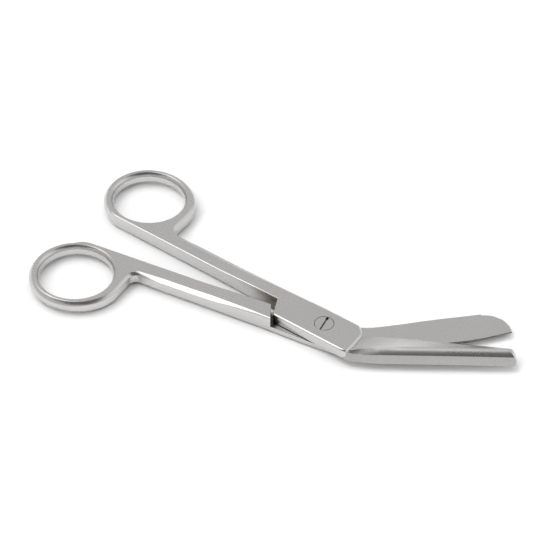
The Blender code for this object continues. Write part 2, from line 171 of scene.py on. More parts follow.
# Sizes in millimetres. A half is drawn in x, u and z: x towards the tips, u outwards from the line where the
# closed shanks meet, z from the half's own exposed face.
joint = {
    "opening": 10.35,
    "thickness": 5.6,
    "innerSide": 6.0,
    "outerSide": 5.9,
    "rear": 14.6,
    "rearSlant": 2.8,
    "innerCorner": 0.8,
    "shoulderGap": 0.3,
    "innerStart": 1.5,
    "innerSpacing": 3.2,
    "footClear": 1.0,
    "lapCut": (10, 40, 80),   # how far the shoulder slants to each side, half the width, and the front end
    "screwHole": 2.0,
    "headHole": 3.0,
    "headHoleDepth": 1.65,
}
handle = {
    "outerSide": 5.3,
    "taperStart": 20.0,
    "taperEnd": 43.0,
    "outerFrom": 58.0,
    "thickness": 4.3,
    "crotchX": 61.9,
    "crotchRadius": 2.5,
    "ringX": 77.2,
    "holeLength": 22.5,
    "endSection": 3.1,
    "sideSection": 2.75,
    "flankSection": 2.15,
    "webSection": 3.7,
    "webEnd": 3.0,
    "flankBlend": 30.0,
    "flankReach": 9.0,
    "flankFade": 1.6,
    "holeRound": (0.95, 1.35, 1.45),
    "holeTurn": 84.0,
}
# How each edge is ground: width, depth, and 1 for a round up to 2 for a nearly flat bevel. Below that, where
# one kind gives way to the next along the outline.
grinding = {
    "ring": (1.15, 2.1, 1.5),
    "crotch": (1.1, 1.3, 1.5),
    "shank": (1.55, 0.76, 1.85),
    "jointExposed": (0.9, 0.7, 1.3),
    "jointMating": (0.4, 0.3, 1.3),
    "crisp": (0.34, 0.26, 1.3),
    "plateNear": (0.55, 0.35, 1.4),
    "front": (0.65, 0.7, 1.6),
    "crotchShare": 0.15,
    "shankFrom": 61.0,
    "shankFade": 11.0,
    "fadeFrom": 36.0,
    "fadeTo": 15.0,
    "plateFrom": 0.5,
    "plateFade": 1.5,
}
# Steps round or along each form, the spacing of the blade's sections, and two tolerances
fineness = {
    "ring": 144,
    "flank": 12,
    "fillet": 10,
    "outerSide": 26,
    "cheek": 8,
    "innerSide": 8,
    "wall": 12,
    "rounding": 8,
    "taper": 24,
    "nose": 8,
    "holeRound": 10,
    "screw": 128,
    "station": 1.6,
    "merge": 0.001,
    "slice": 0.005,
}
margin = 2.0   # how far a cutter goes past what it cuts


def smoothStep(value):
    value = min(max(value, 0.0), 1.0)
    return value * value * (3 - 2 * value)


def newObject(name, bm):
    bmesh.ops.recalc_face_normals(bm, faces=bm.faces)
    mesh = bpy.data.meshes.new(name)
    bm.to_mesh(mesh)
    bm.free()
    item = bpy.data.objects.new(name, mesh)
    bpy.context.scene.collection.objects.link(item)
    return item


def loftRows(bm, rows):
    rings = [[bm.verts.new(point) for point in row] for row in rows]
    count = len(rings[0])
    for low, high in zip(rings, rings[1:]):
        for i in range(count):
            j = (i + 1) % count
            bm.faces.new((low[i], low[j], high[j], high[i]))
    bm.faces.new(rings[0])
    bm.faces.new(rings[-1])


def combine(item, other, operation):
    modifier = item.modifiers.new("cut", "BOOLEAN")
    modifier.operation = operation
    modifier.solver = "EXACT"
    modifier.object = other
    graph = bpy.context.evaluated_depsgraph_get()
    mesh = bpy.data.meshes.new_from_object(item.evaluated_get(graph))
    item.modifiers.clear()
    item.data = mesh
    bpy.data.objects.remove(other)
    bm = bmesh.new()
    bm.from_mesh(mesh)
    bmesh.ops.remove_doubles(bm, verts=bm.verts, dist=fineness["merge"])
    bmesh.ops.dissolve_degenerate(bm, edges=bm.edges, dist=fineness["merge"])
    bmesh.ops.recalc_face_normals(bm, faces=bm.faces)
    bm.to_mesh(mesh)
    bm.free()


def ellipsePoints(x, u, radiusX, radiusU, start, end, steps):
    points = []
    for step in range(steps + 1):
        angle = math.radians(start + (end - start) * step / steps)
        points.append((x + radiusX * math.cos(angle), u + radiusU * math.sin(angle)))
    return points


def cornerPoints(corner, back, ahead, size, steps=5):
    corner = Vector(corner)
    start = corner + Vector(back) * size
    end = corner + Vector(ahead) * size
    points = []
    for step in range(steps + 1):
        t = step / steps
        points.append(tuple(start.lerp(corner, t).lerp(corner.lerp(end, t), t)))
    return points


def insetOutline(points, distances):
    # each corner moves in along its mitre, which is held back where the outline turns sharply
    sharpest = 0.3
    area = sum(a[0] * b[1] - b[0] * a[1] for a, b in zip(points, points[1:] + points[:1]))
    side = 1 if area > 0 else -1
    moved = []
    for i, point in enumerate(points):
        before = (Vector(point) - Vector(points[i - 1])).normalized()
        after = (Vector(points[(i + 1) % len(points)]) - Vector(point)).normalized()
        mitre = Vector((-(before + after).y, (before + after).x)).normalized() * side
        across = Vector((-after.y, after.x)) * side
        moved.append(Vector(point) + mitre * distances[i] / max(mitre.dot(across), sharpest))
    return moved


def blendGrinding(a, b, share):
    return tuple(p + (q - p) * share for p, q in zip(a, b))


# Outline of a half: round the ring, along the outer side to the front of the joint plate, and back along the
# inner side


def ringCentre(half):
    return (-handle["ringX"], half["wall"] + handle["flankSection"] + half["holeWidth"] / 2)


def ringOutline(half):
    centre = ringCentre(half)
    end = handle["holeLength"] / 2 + handle["endSection"]
    web = handle["holeLength"] / 2 + handle["webSection"]
    side = half["holeWidth"] / 2 + handle["sideSection"]
    flank = math.degrees(math.asin((centre[1] - half["wall"]) / side))
    start = 180 + flank - handle["flankBlend"]
    angle = math.radians(start)
    meets = Vector((centre[0] + end * math.cos(angle), centre[1] + side * math.sin(angle)))
    tangent = Vector((-end * math.sin(angle), side * math.cos(angle)))
    corner = meets + tangent * (half["wall"] - meets.y) / tangent.y
    leaves = corner + Vector(((corner - meets).length, 0))
    points = []
    for step in range(fineness["flank"]):
        t = step / fineness["flank"]
        points.append(tuple(leaves.lerp(corner, t).lerp(corner.lerp(meets, t), t)))
    quarter = fineness["ring"] // 4
    points += ellipsePoints(*centre, end, side, start, 180, quarter)
    points += ellipsePoints(*centre, end, side, 180, 90, quarter)[1:]
    points += ellipsePoints(*centre, web, side, 90, handle["webEnd"], quarter)[1:]
    return points


def outerSideOutline():
    points = []
    count = fineness["outerSide"]
    for step in range(count):
        x = -handle["outerFrom"] + (handle["outerFrom"] - handle["taperStart"]) * step / count
        points.append((x, handle["outerSide"]))
    for step in range(fineness["cheek"] + 1):
        t = step / fineness["cheek"]
        u = handle["outerSide"] + (joint["outerSide"] - handle["outerSide"]) * smoothStep(t)
        points.append((-handle["taperStart"] * (1 - t), u))
    return points


def innerSideOutline(half):
    rear = Vector((-joint["rear"], -joint["innerSide"]))
    foot = Vector((-joint["rear"] - joint["rearSlant"], 0))
    slant = (foot - rear).normalized()
    foot = rear + slant * (half["wall"] - rear.y) / slant.y
    front = half["front"][-1][0] - joint["innerStart"]
    spacing = joint["innerSpacing"]
    points = [(front - spacing * step, -joint["innerSide"]) for step in range(fineness["innerSide"])]
    points += cornerPoints(rear, (1, 0), slant, joint["innerCorner"])
    points.append(tuple(foot))
    clear = joint["footClear"]
    reach = -handle["crotchX"] - foot.x + clear
    for step in range(fineness["wall"]):
        points.append((foot.x - clear + reach * step / (fineness["wall"] - 1), half["wall"]))
    return points


def halfOutline(half):
    corners = []
    for point in ringOutline(half):
        web = smoothStep((point[0] + handle["ringX"]) / (handle["ringX"] - handle["crotchX"]))
        ground = blendGrinding(grinding["ring"], grinding["crotch"], web)
        flank = 0
        if point[0] > -handle["ringX"] - handle["flankReach"]:
            flank = smoothStep((half["wall"] + handle["flankFade"] - point[1]) / handle["flankFade"])
        ground = blendGrinding(ground, grinding["crisp"], flank)
        corners.append((point, ground, ground))
    radius = handle["crotchRadius"]
    centre = (-handle["crotchX"] + radius, handle["outerSide"] + radius)
    steps = fineness["fillet"]
    fillet = ellipsePoints(*centre, radius, radius, 180 + handle["webEnd"], 270, steps)
    for step, point in enumerate(fillet):
        share = grinding["crotchShare"] * step / steps
        ground = blendGrinding(grinding["crotch"], grinding["shank"], share)
        corners.append((point, ground, ground))
    webGround = blendGrinding(grinding["crotch"], grinding["shank"], grinding["crotchShare"])
    fadeLength = grinding["fadeFrom"] - grinding["fadeTo"]
    for point in outerSideOutline():
        near = smoothStep((point[0] + grinding["shankFrom"]) / grinding["shankFade"])
        wide = blendGrinding(webGround, grinding["shank"], near)
        fade = min(max((-point[0] - grinding["fadeTo"]) / fadeLength, 0.0), 1.0)
        corners.append((point, blendGrinding(grinding["jointExposed"], wide, fade),
                        blendGrinding(grinding["jointMating"], wide, fade)))
    for point in half["front"]:
        corners.append((point, grinding["front"], grinding["jointMating"]))
    for point in innerSideOutline(half):
        near = smoothStep((point[0] + joint["rear"] + grinding["plateFrom"]) / grinding["plateFade"])
        ground = blendGrinding(grinding["crisp"], grinding["plateNear"], near)
        corners.append((point, ground, grinding["crisp"]))
    return corners


def halfSlab(half):
    corners = halfOutline(half)
    outline = [point for point, exposed, mating in corners]
    steps = fineness["rounding"]
    rows = []
    for step in range(2 * steps + 2):
        onMating = step > steps
        turn = step - steps - 1 if onMating else steps - step
        angle = math.radians(90.0 * turn / steps)
        distances = []
        depths = []
        for point, exposed, mating in corners:
            width, depth, flat = mating if onMating else exposed
            distances.append(width * (1 - math.cos(angle) ** flat) if turn < steps else width)
            depths.append(depth * (1 - math.sin(angle) ** flat) if turn else depth)
        points = insetOutline(outline, distances)
        if onMating:
            depths = [joint["thickness"] - depth for depth in depths]
        rows.append([(point.x, point.y, depth) for point, depth in zip(points, depths)])
    bm = bmesh.new()
    loftRows(bm, rows)
    # the shank thins down in slices, straight between them to keep its faces flat
    count = fineness["taper"]
    taperLength = handle["taperEnd"] - handle["taperStart"]
    for step in range(count + 1):
        x = -handle["taperStart"] - taperLength * step / count
        bmesh.ops.bisect_plane(bm, geom=bm.verts[:] + bm.edges[:] + bm.faces[:], dist=fineness["slice"],
                               plane_co=(x, 0, 0), plane_no=(1, 0, 0))
    middle = joint["thickness"] / 2
    thinned = handle["thickness"] / joint["thickness"] - 1
    for vertex in bm.verts:
        place = (-vertex.co.x - handle["taperStart"]) / taperLength * count
        place = min(max(place, 0.0), count)
        low, high = smoothStep(math.floor(place) / count), smoothStep(math.ceil(place) / count)
        taper = low + (high - low) * (place - math.floor(place))
        vertex.co.z = middle + (vertex.co.z - middle) * (1 + thinned * taper)
    return newObject(half["name"], bm)


# Blades. Each row of a half's "blade" is a point on the spine and the one across from it on the edge, both with
# the pair closed, then the height of the wall, the height of the crest, the width of the round between them,
# the height of the edge, and how full the round is, from 0 for a plain chamfer to 1.
wallLean = 0.533
crestRound = ((0.03, 0.08), (0.09, 0.185), (0.20, 0.37), (0.34, 0.57), (0.48, 0.74), (0.61, 0.855),
              (0.74, 0.94), (0.87, 0.985), (1.0, 1.0))
facet = {"shares": (0.85, 0.7, 0.55, 0.4, 0.25, 0.12), "hollow": 0.12}
edgeBevel = {"height": 0.6, "width": 0.3, "honedWidth": 0.3, "honedDepth": 0.2}
noseShape = {"lead": 3, "curve": 0.9, "overCrest": 0.3, "top": 0.05, "sameCorner": 0.01}


def bladeStations(half):
    pairs = half["blade"]
    stations = []
    for (spineA, edgeA, *sizesA), (spineB, edgeB, *sizesB) in zip(pairs, pairs[1:]):
        steps = max(1, round((Vector(spineB) - Vector(spineA)).length / fineness["station"]))
        for step in range(steps):
            t = step / steps
            spine = Vector(spineA).lerp(Vector(spineB), t)
            edge = Vector(edgeA).lerp(Vector(edgeB), t)
            stations.append((spine, edge, *blendGrinding(sizesA, sizesB, t)))
    spine, edge, *sizes = pairs[-1]
    stations.append((Vector(spine), Vector(edge), *sizes))
    return stations


def bladeRow(half, spine, edge, wall, crest, roundWidth, edgeHeight, roundness, side):
    width = (edge - spine).length
    across = (edge - spine) / width
    section = [(0.0, 0.0), (wallLean * wall / 2, wall / 2), (wallLean * wall, wall)]
    for inward, upward in crestRound:
        rise = inward + (upward - inward) * roundness
        section.append((wallLean * wall + roundWidth * inward, wall + (crest - wall) * rise))
    depth = section[-1][0]
    slope = (crest - edgeHeight) / (width - edgeBevel["width"] - depth)
    beyond = width + margin / 2
    profile = [(beyond, -margin), (beyond, edgeHeight - slope * (beyond - width + edgeBevel["width"]))]
    for share in facet["shares"]:
        height = crest - slope * share * (width - depth)
        hollow = facet["hollow"] * 4 * share * (1 - share)   # deepest halfway across
        profile.append((depth + share * (width - depth), height - hollow))
    for stepIn, height in reversed(section):
        profile.append((stepIn, height))
    profile.append((-margin * wallLean, -margin))
    row = []
    for distance, height in profile:
        point = spine + across * distance
        row.append((point.x, side * point.y, half["plate"] - height))
    return row


def bladeOutline(half):
    pairs, tip = half["blade"], half["tip"]
    spines = [Vector(pair[0]) for pair in pairs]
    edges = [Vector(a[1]).lerp(Vector(b[1]), 0.5) for a, b in zip(pairs, pairs[1:])]
    outline = []
    if half["tipOnEdge"]:
        outline += [point for point in edges if point.x < tip[0][0] - margin / 2]
        outline += [Vector(point) for point in tip]
        outline.append(Vector((tip[-1][0], spines[-3].y - 2 * margin)))
        outline.append(spines[2] + Vector((margin, -2 * margin)))
        outline.append(spines[0] + Vector((-margin, -2 * margin)))
    else:
        outline += [point for point in edges if point.x < tip[-1][0] - margin]
        outline += [Vector(point) for point in reversed(tip)]
        direction = (Vector(tip[1]) - Vector(tip[0])).normalized()
        outline.append(Vector(tip[0]) - direction * 2 * margin + Vector((-margin / 2, 2 * margin)))
        outline.append(spines[1] + Vector((0, 3 * margin)))
        outline.append(spines[0] + Vector((-margin, 3 * margin)))
    outline.append(edges[0] + Vector((-margin, 0)))
    return [tuple(point) for point in outline]


def bladeBody(half, side):
    bm = bmesh.new()
    loftRows(bm, [bladeRow(half, *station, side) for station in bladeStations(half)])
    if half["tipOnEdge"]:
        bmesh.ops.triangulate(bm, faces=bm.faces)   # its root twists, and flat faces cut cleanly
    body = newObject("blade", bm)
    outline = bladeOutline(half)
    nose = [0.0] * len(outline)   # how far each corner takes part in the rounded nose
    for i, point in enumerate(outline):
        for j, corner in enumerate(half["tip"]):
            if (Vector(point) - Vector(corner)).length < noseShape["sameCorner"]:
                nose[i] = min(j, noseShape["lead"]) / noseShape["lead"] if half["tipOnEdge"] else 1.0
    honedWidth, bevelWidth, bevelHeight = edgeBevel["honedWidth"], edgeBevel["width"], edgeBevel["height"]
    levels = [(honedWidth, -2 * margin), (honedWidth, 0.0), (0.0, edgeBevel["honedDepth"])]
    levels.append((bevelWidth, bevelHeight))
    for step in range(1, fineness["nose"] + 1):
        rise = (half["crest"] + noseShape["overCrest"]) * step / fineness["nose"]
        levels.append((bevelWidth, bevelHeight + rise))
    bm = bmesh.new()
    rows = []
    for distance, height in levels:
        share = min(max(height / (half["crest"] + noseShape["top"]), 0.0), 1.0)
        dome = half["noseRound"] * (1 - math.sqrt(1 - share * share)) ** noseShape["curve"]
        distances = [distance + max(dome - distance, 0.0) * n for n in nose]
        rows.append([(p.x, side * p.y, half["plate"] - height) for p in insetOutline(outline, distances)])
    loftRows(bm, rows)
    combine(body, newObject("trim", bm), "INTERSECT")
    return body


# Cutters for the lap, the finger hole and the bores


def lapCutter(half):
    slant = joint["rearSlant"] / joint["innerSide"]
    foot = -joint["rear"] - joint["rearSlant"] - joint["shoulderGap"]
    run, wide, front = joint["lapCut"]
    outline = ((foot - slant * run, -run), (foot - slant * run, -wide), (front, -wide),
               (front, wide), (foot + slant * run, wide), (foot + slant * run, run))
    bm = bmesh.new()
    loftRows(bm, [[(x, u, z) for x, u in outline] for z in (half["plate"], joint["thickness"] + margin)])
    return newObject("lap", bm)


def holeCutter(half):
    across, deep, flat = handle["holeRound"]
    reach = handle["thickness"] / 2
    levels = [(0.0, reach - deep)]
    steps = fineness["holeRound"]
    for step in range(1, steps + 1):
        angle = math.radians(handle["holeTurn"] * step / steps)
        flare = across * (1 - math.cos(angle) ** flat)
        levels.append((flare, reach - deep * (1 - math.sin(angle) ** flat)))
    levels.append((levels[-1][0], reach + margin))
    levels = [(flare, -height) for flare, height in reversed(levels)] + levels
    rows = []
    for flare, height in levels:
        radii = (handle["holeLength"] / 2 + flare, half["holeWidth"] / 2 + flare)
        points = ellipsePoints(*ringCentre(half), *radii, 0, 360, fineness["ring"])[:-1]
        rows.append([(x, u, joint["thickness"] / 2 + height) for x, u in points])
    bm = bmesh.new()
    loftRows(bm, rows)
    return newObject("fingerHole", bm)


def turnedSolid(name, profile):
    bm = bmesh.new()
    rows = []
    count = fineness["screw"]
    low = bm.verts.new((0, 0, profile[0][1]))
    high = bm.verts.new((0, 0, profile[-1][1]))
    for radius, height in profile[1:-1]:
        row = []
        for i in range(count):
            angle = math.tau * i / count
            row.append(bm.verts.new((radius * math.cos(angle), radius * math.sin(angle), height)))
        rows.append(row)
    for i in range(count):
        j = (i + 1) % count
        bm.faces.new((low, rows[0][j], rows[0][i]))
        bm.faces.new((high, rows[-1][i], rows[-1][j]))
        for a, b in zip(rows, rows[1:]):
            bm.faces.new((a[i], a[j], b[j], b[i]))
    return newObject(name, bm)


# An edge that turns by more degrees than "turn" stays sharp
smoothing = {"turn": 24, "level": 0.9999, "weight": 70}
metresPerMillimetre = 0.001
millimetresPerMetre = 1000.0


def finishPiece(item, matrix, levelTurn=smoothing["turn"]):
    item.data.transform(Matrix.Scale(metresPerMillimetre, 4) @ matrix)
    if matrix.determinant() < 0:
        item.data.flip_normals()
    bm = bmesh.new()
    bm.from_mesh(item.data)
    for edge in bm.edges:
        turn = edge.calc_face_angle(0)
        level = any(abs(face.normal.z) > smoothing["level"] for face in edge.link_faces)
        most = math.radians(levelTurn if level else smoothing["turn"])
        edge.smooth = len(edge.link_faces) == 2 and turn < most
    for face in bm.faces:
        face.smooth = True
    bm.to_mesh(item.data)
    bm.free()
    weighted = item.modifiers.new("flat faces first", "WEIGHTED_NORMAL")
    weighted.keep_sharp = True
    weighted.weight = smoothing["weight"]


def makeHalf(half, lower):
    item = halfSlab(half)
    side = -1 if lower else 1
    combine(item, bladeBody(half, side), "UNION")
    combine(item, lapCutter(half), "DIFFERENCE")
    combine(item, holeCutter(half), "DIFFERENCE")
    hole = joint["screwHole"]
    bore = [(0, -margin), (hole, -margin), (hole, joint["thickness"]), (0, joint["thickness"])]
    if not lower:
        seat, depth = joint["headHole"], joint["headHoleDepth"]
        bore[1:2] = [(seat, -margin), (seat, depth), (hole, depth)]
    combine(item, turnedSolid("bore", bore), "DIFFERENCE")
    if lower:
        matrix = Matrix.Diagonal((1, -1, 1, 1))
    else:
        opened = Matrix.Rotation(-math.radians(joint["opening"]), 4, "Z")
        matrix = opened @ Matrix.Translation((0, 0, joint["thickness"])) @ Matrix.Diagonal((1, 1, -1, 1))
    finishPiece(item, matrix)
    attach(item, half["body"])
    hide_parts(half["body"])
    return item


# "front" goes round the front of the plate, from the outer side to the inner one. "tip" goes round the nose,
# from the edge to the spine where "tipOnEdge" says so and from the spine to the edge otherwise. "noseRound" is
# how far the top of the nose is rounded back.
lowerSection = (1.49, 2.20, 1.54, 0.60, 1.0)
upperSection = (2.33, 3.45, 2.50, 0.60, 1.0)
lowerHalf = {
    "name": "lowerForging",
    "body": "lower_half",
    "wall": -0.45,
    "holeWidth": 22.4,
    "plate": 2.2,
    "crest": 2.2,
    "tipOnEdge": False,
    "noseRound": 1.0,
    "front": ((9.0, 5.9), (9.6, 5.6), (11.5, 3.6), (11.95, 2.9), (12.0, 0.0), (12.0, -3.0), (12.0, -5.2),
              (11.8, -5.8)),
    "blade": (
        ((8.0, 6.0), (8.0, -5.9), 1.19, 1.76, 1.23, 0.60, 1.0),
        ((10.2, 6.9), (13.0, -5.8), 1.19, 1.76, 1.23, 0.60, 1.0),
        ((12.4, 8.1), (16.4, -3.0), 1.31, 1.94, 1.36, 0.60, 1.0),
        ((14.5, 9.6), (19.0, -0.9), 1.43, 2.11, 1.48, 0.60, 1.0),
        ((17.0, 11.5), (22.2, 1.7), *lowerSection),
        ((19.4, 13.3), (25.3, 4.3), *lowerSection),
        ((24.2, 17.1), (30.6, 8.7), *lowerSection),
        ((28.2, 20.1), (34.4, 11.7), *lowerSection),
        ((32.0, 22.9), (38.5, 14.3), *lowerSection),
        ((35.9, 25.7), (42.2, 17.2), *lowerSection),
        ((39.9, 28.7), (46.0, 20.7), *lowerSection),
        ((43.6, 31.5), (49.1, 23.9), *lowerSection),
        ((50.0, 36.3), (54.5, 29.8), *lowerSection),
    ),
    "tip": ((39.0, 27.75), (40.0, 28.3), (41.2, 28.7), (42.6, 28.95), (45.1, 28.8), (47.0, 28.0), (48.5, 26.95),
            (50.1, 24.9)),
}
upperHalf = {
    "name": "upperForging",
    "body": "upper_half",
    "wall": 0.15,
    "holeWidth": 21.7,
    "plate": 3.15,
    "crest": 3.45,
    "tipOnEdge": True,
    "noseRound": 3.2,
    "front": ((8.7, 5.9), (9.4, 5.55), (11.3, 3.7), (11.75, 3.1), (12.1, 0.5), (12.3, -2.0), (12.3, -4.4),
              (11.95, -5.55)),
    "blade": (
        ((10.0, -5.98), (9.6, 2.6), 2.10, 2.60, 0.42, 2.30, 0.0),
        ((11.9, -5.98), (11.2, 3.4), 2.12, 2.64, 0.44, 2.25, 0.0),
        ((13.0, -5.82), (11.77, 4.13), 2.10, 2.74, 0.62, 2.05, 0.0),
        ((14.1, -5.40), (12.34, 4.88), 2.08, 2.88, 1.20, 1.80, 0.0),
        ((15.7, -4.62), (13.1, 5.9), 2.12, 3.06, 1.60, 1.35, 0.0),
        ((18.8, -2.85), (15.1, 7.6), 2.22, 3.32, 1.85, 0.80, 0.1),
        ((21.2, -1.30), (16.7, 8.7), 2.33, 3.43, 1.95, 0.60, 0.4),
        ((27.0, 2.8), (20.9, 11.3), *upperSection),
        ((36.0, 9.3), (30.6, 16.8), *upperSection),
        ((45.0, 15.75), (40.3, 22.2), 2.30, 3.45, 2.45, 0.60, 1.0),
        ((50.5, 19.7), (46.2, 25.6), 2.25, 3.45, 2.45, 0.60, 1.0),
        ((57.0, 24.4), (53.1, 29.8), 2.20, 3.45, 2.45, 0.60, 1.0),
    ),
    "tip": ((46.3, 25.7), (47.4, 26.2), (48.7, 26.5), (50.1, 26.3), (51.3, 25.6), (52.7, 24.2), (53.5, 23.0),
            (53.9, 21.6), (53.9, 16.0)),
}
screw = {
    "name": "slottedScrew",
    "radius": 1.8,
    "head": 2.85,
    "headHeight": 1.4,
    "edge": 0.06,
    "edgeRound": 0.3,
    "slotWidth": 0.6,
    "slotDepth": 0.7,
    "slotAngle": 92.0,
    "pitRadius": 0.5,
    "pitOffset": 2.1,
    "levelTurn": 12,
}


def makeScrew(spec):
    top = joint["thickness"]
    under = top - spec["headHeight"]
    shaft, head, edge = spec["radius"], spec["head"], spec["edge"]
    eased = edge * spec["edgeRound"]
    item = turnedSolid(spec["name"], (
        (0, 0), (shaft, 0), (shaft, under), (head, under), (head, top - edge), (head - eased, top - eased),
        (head - edge, top), (0, top)))
    bm = bmesh.new()
    bmesh.ops.create_cube(bm, size=1.0)
    bmesh.ops.scale(bm, vec=(3 * head, spec["slotWidth"], 2 * spec["slotDepth"]), verts=bm.verts)
    angle = math.radians(spec["slotAngle"])
    bmesh.ops.rotate(bm, matrix=Matrix.Rotation(angle, 3, "Z"), verts=bm.verts)
    bmesh.ops.translate(bm, vec=(0, 0, top), verts=bm.verts)
    combine(item, newObject("slot", bm), "DIFFERENCE")
    floor, radius = top - spec["slotDepth"], spec["pitRadius"]
    pit = turnedSolid("pit", ((0, floor), (radius, floor), (radius, top + margin), (0, top + margin)))
    pit.data.transform(Matrix.Translation(Vector((math.cos(angle), math.sin(angle), 0)) * spec["pitOffset"]))
    combine(item, pit, "DIFFERENCE")
    finishPiece(item, Matrix.Identity(4), spec["levelTurn"])
    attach(item, "lower_half")
    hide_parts("pivot_screw")
    return item


lowerItem = makeHalf(lowerHalf, True)
print("lower half done")
upperItem = makeHalf(upperHalf, False)
print("upper half done")
screwItem = makeScrew(screw)
print("screw done")

# Steel. Its patterns are laid out in millimetres of the piece itself. "satin", "edges" and "shoulderShade" are
# the inputs of the three node groups below. "edges" sets real edge wear and painted gap shade, "shoulderShade"
# painted shade by the shoulders.
satinSteel = {
    "cool": (0.598, 0.592, 0.590, 1),
    "warm": (0.606, 0.590, 0.574, 1),
    "polished": (0.66, 0.655, 0.65, 1),
    # painted shade: near-black colour laid into creases and the shoulder gap
    "gapShadeColour": (0.055, 0.047, 0.042, 1),
    # painted shade: dark brown colour laid on the walls by the shoulders
    "shoulderShadeColour": (0.070, 0.062, 0.055, 1),
    "cloudRange": (0.35, 0.65),
    "streakRange": (0.3, 0.7),
    "streakShare": 0.12,
    "roughness": (0.22, 0.31),
    "wornRoughness": 0.15,
    "bump": 0.10,
    "bumpDepth": 0.000012,
    "satin": {"Direction": 0.0, "Scratch Length": 6.0, "Scratch Spacing": 9.0, "Speckle": 7.0, "Cloud": 0.06},
    "edges": {"Edge Radius": 0.00022, "Edge Patchiness": 0.5, "Painted Gap Shade Reach": 0.0012},
    "shoulderShade": {"Centre": (-0.0172, -0.0038, 0.0012), "Inner": 3.0, "Outer": 4.25, "Facing": (0.3, 0.3, 0.9)},
}
satinNoise = {
    "streaks": {"Scale": 1.0, "Detail": 3.0, "Roughness": 0.65},
    "speckle": {"Detail": 2.0, "Roughness": 0.6},
    "clouds": {"Detail": 3.0, "Roughness": 0.55, "Distortion": 0.4},
    "speckleShare": 0.45,
}
# Each range goes from where an effect starts to where it is full
wearAndShade = {
    "edgeTurn": (0.995, 0.90),
    "patches": {"Scale": 320.0, "Detail": 3.0},
    "patchRange": (0.35, 0.65),
    "gapShadeRange": (0.62, 0.12),
    "shadedWall": (0.2, 0.5),
}


def addNode(tree, kind, values=(), **settings):
    node = tree.nodes.new(kind)
    for name, value in settings.items():
        setattr(node, name, value)
    for key, value in dict(values).items():
        if isinstance(value, bpy.types.NodeSocket):
            tree.links.new(value, node.inputs[key])
        else:
            node.inputs[key].default_value = value
    return node


def addMath(tree, operation, a, b):
    return addNode(tree, "ShaderNodeMath", {0: a, 1: b}, operation=operation).outputs[0]


def addDot(tree, a, b):
    return addNode(tree, "ShaderNodeVectorMath", {0: a, 1: b}, operation="DOT_PRODUCT").outputs["Value"]


def addMap(tree, value, low, high, toLow=0.0, toHigh=1.0):
    values = {"Value": value, "From Min": low, "From Max": high, "To Min": toLow, "To Max": toHigh}
    return addNode(tree, "ShaderNodeMapRange", values).outputs["Result"]


def addNoise(tree, place, values):
    return addNode(tree, "ShaderNodeTexNoise", {"Vector": place, **values}).outputs["Fac"]


def addMix(tree, kind, factor, a, b):
    node = addNode(tree, "ShaderNodeMix", data_type=kind)
    first = {"FLOAT": 2, "RGBA": 6}[kind]
    for index, value in ((0, factor), (first, a), (first + 1, b)):
        if isinstance(value, bpy.types.NodeSocket):
            tree.links.new(value, node.inputs[index])
        else:
            node.inputs[index].default_value = value
    return node.outputs[{"FLOAT": 0, "RGBA": 2}[kind]]


def newGroup(name, inputs, outputs):
    group = bpy.data.node_groups.new(name, "ShaderNodeTree")
    for label, value in inputs:
        kind = "NodeSocketFloat" if isinstance(value, float) else "NodeSocketVector"
        socket = group.interface.new_socket(name=label, in_out="INPUT", socket_type=kind)
        socket.default_value = value
    for label, kind in outputs:
        group.interface.new_socket(name=label, in_out="OUTPUT", socket_type="NodeSocket" + kind)
    return group, group.nodes.new("NodeGroupInput").outputs, group.nodes.new("NodeGroupOutput").inputs


def satinGroup():
    # the fine grain of a satin mop: short scratches along the piece over a bead-like speckle
    outputs = (("Height", "Float"), ("Streaks", "Float"), ("Clouds", "Float"))
    group, source, target = newGroup("satin grain", satinSteel["satin"].items(), outputs)
    metres = addNode(group, "ShaderNodeTexCoord").outputs["Object"]
    scaled = addNode(group, "ShaderNodeVectorMath", {0: metres, 3: millimetresPerMetre}, operation="SCALE")
    place = scaled.outputs[0]
    turned = addNode(group, "ShaderNodeVectorRotate", {"Vector": place, "Angle": source["Direction"]},
                     rotation_type="Z_AXIS").outputs[0]
    apart = addNode(group, "ShaderNodeSeparateXYZ", {0: turned}).outputs
    along = addMath(group, "DIVIDE", apart["X"], source["Scratch Length"])
    across = addMath(group, "MULTIPLY", apart["Y"], source["Scratch Spacing"])
    upward = addMath(group, "MULTIPLY", apart["Z"], source["Scratch Spacing"])
    stretched = addNode(group, "ShaderNodeCombineXYZ", {0: along, 1: across, 2: upward}).outputs[0]
    streaks = addNoise(group, stretched, satinNoise["streaks"])
    speckle = addNoise(group, place, {"Scale": source["Speckle"], **satinNoise["speckle"]})
    clouds = addNoise(group, place, {"Scale": source["Cloud"], **satinNoise["clouds"]})
    height = addMix(group, "FLOAT", satinNoise["speckleShare"], streaks, speckle)
    group.links.new(height, target["Height"])
    group.links.new(streaks, target["Streaks"])
    group.links.new(clouds, target["Clouds"])
    return group


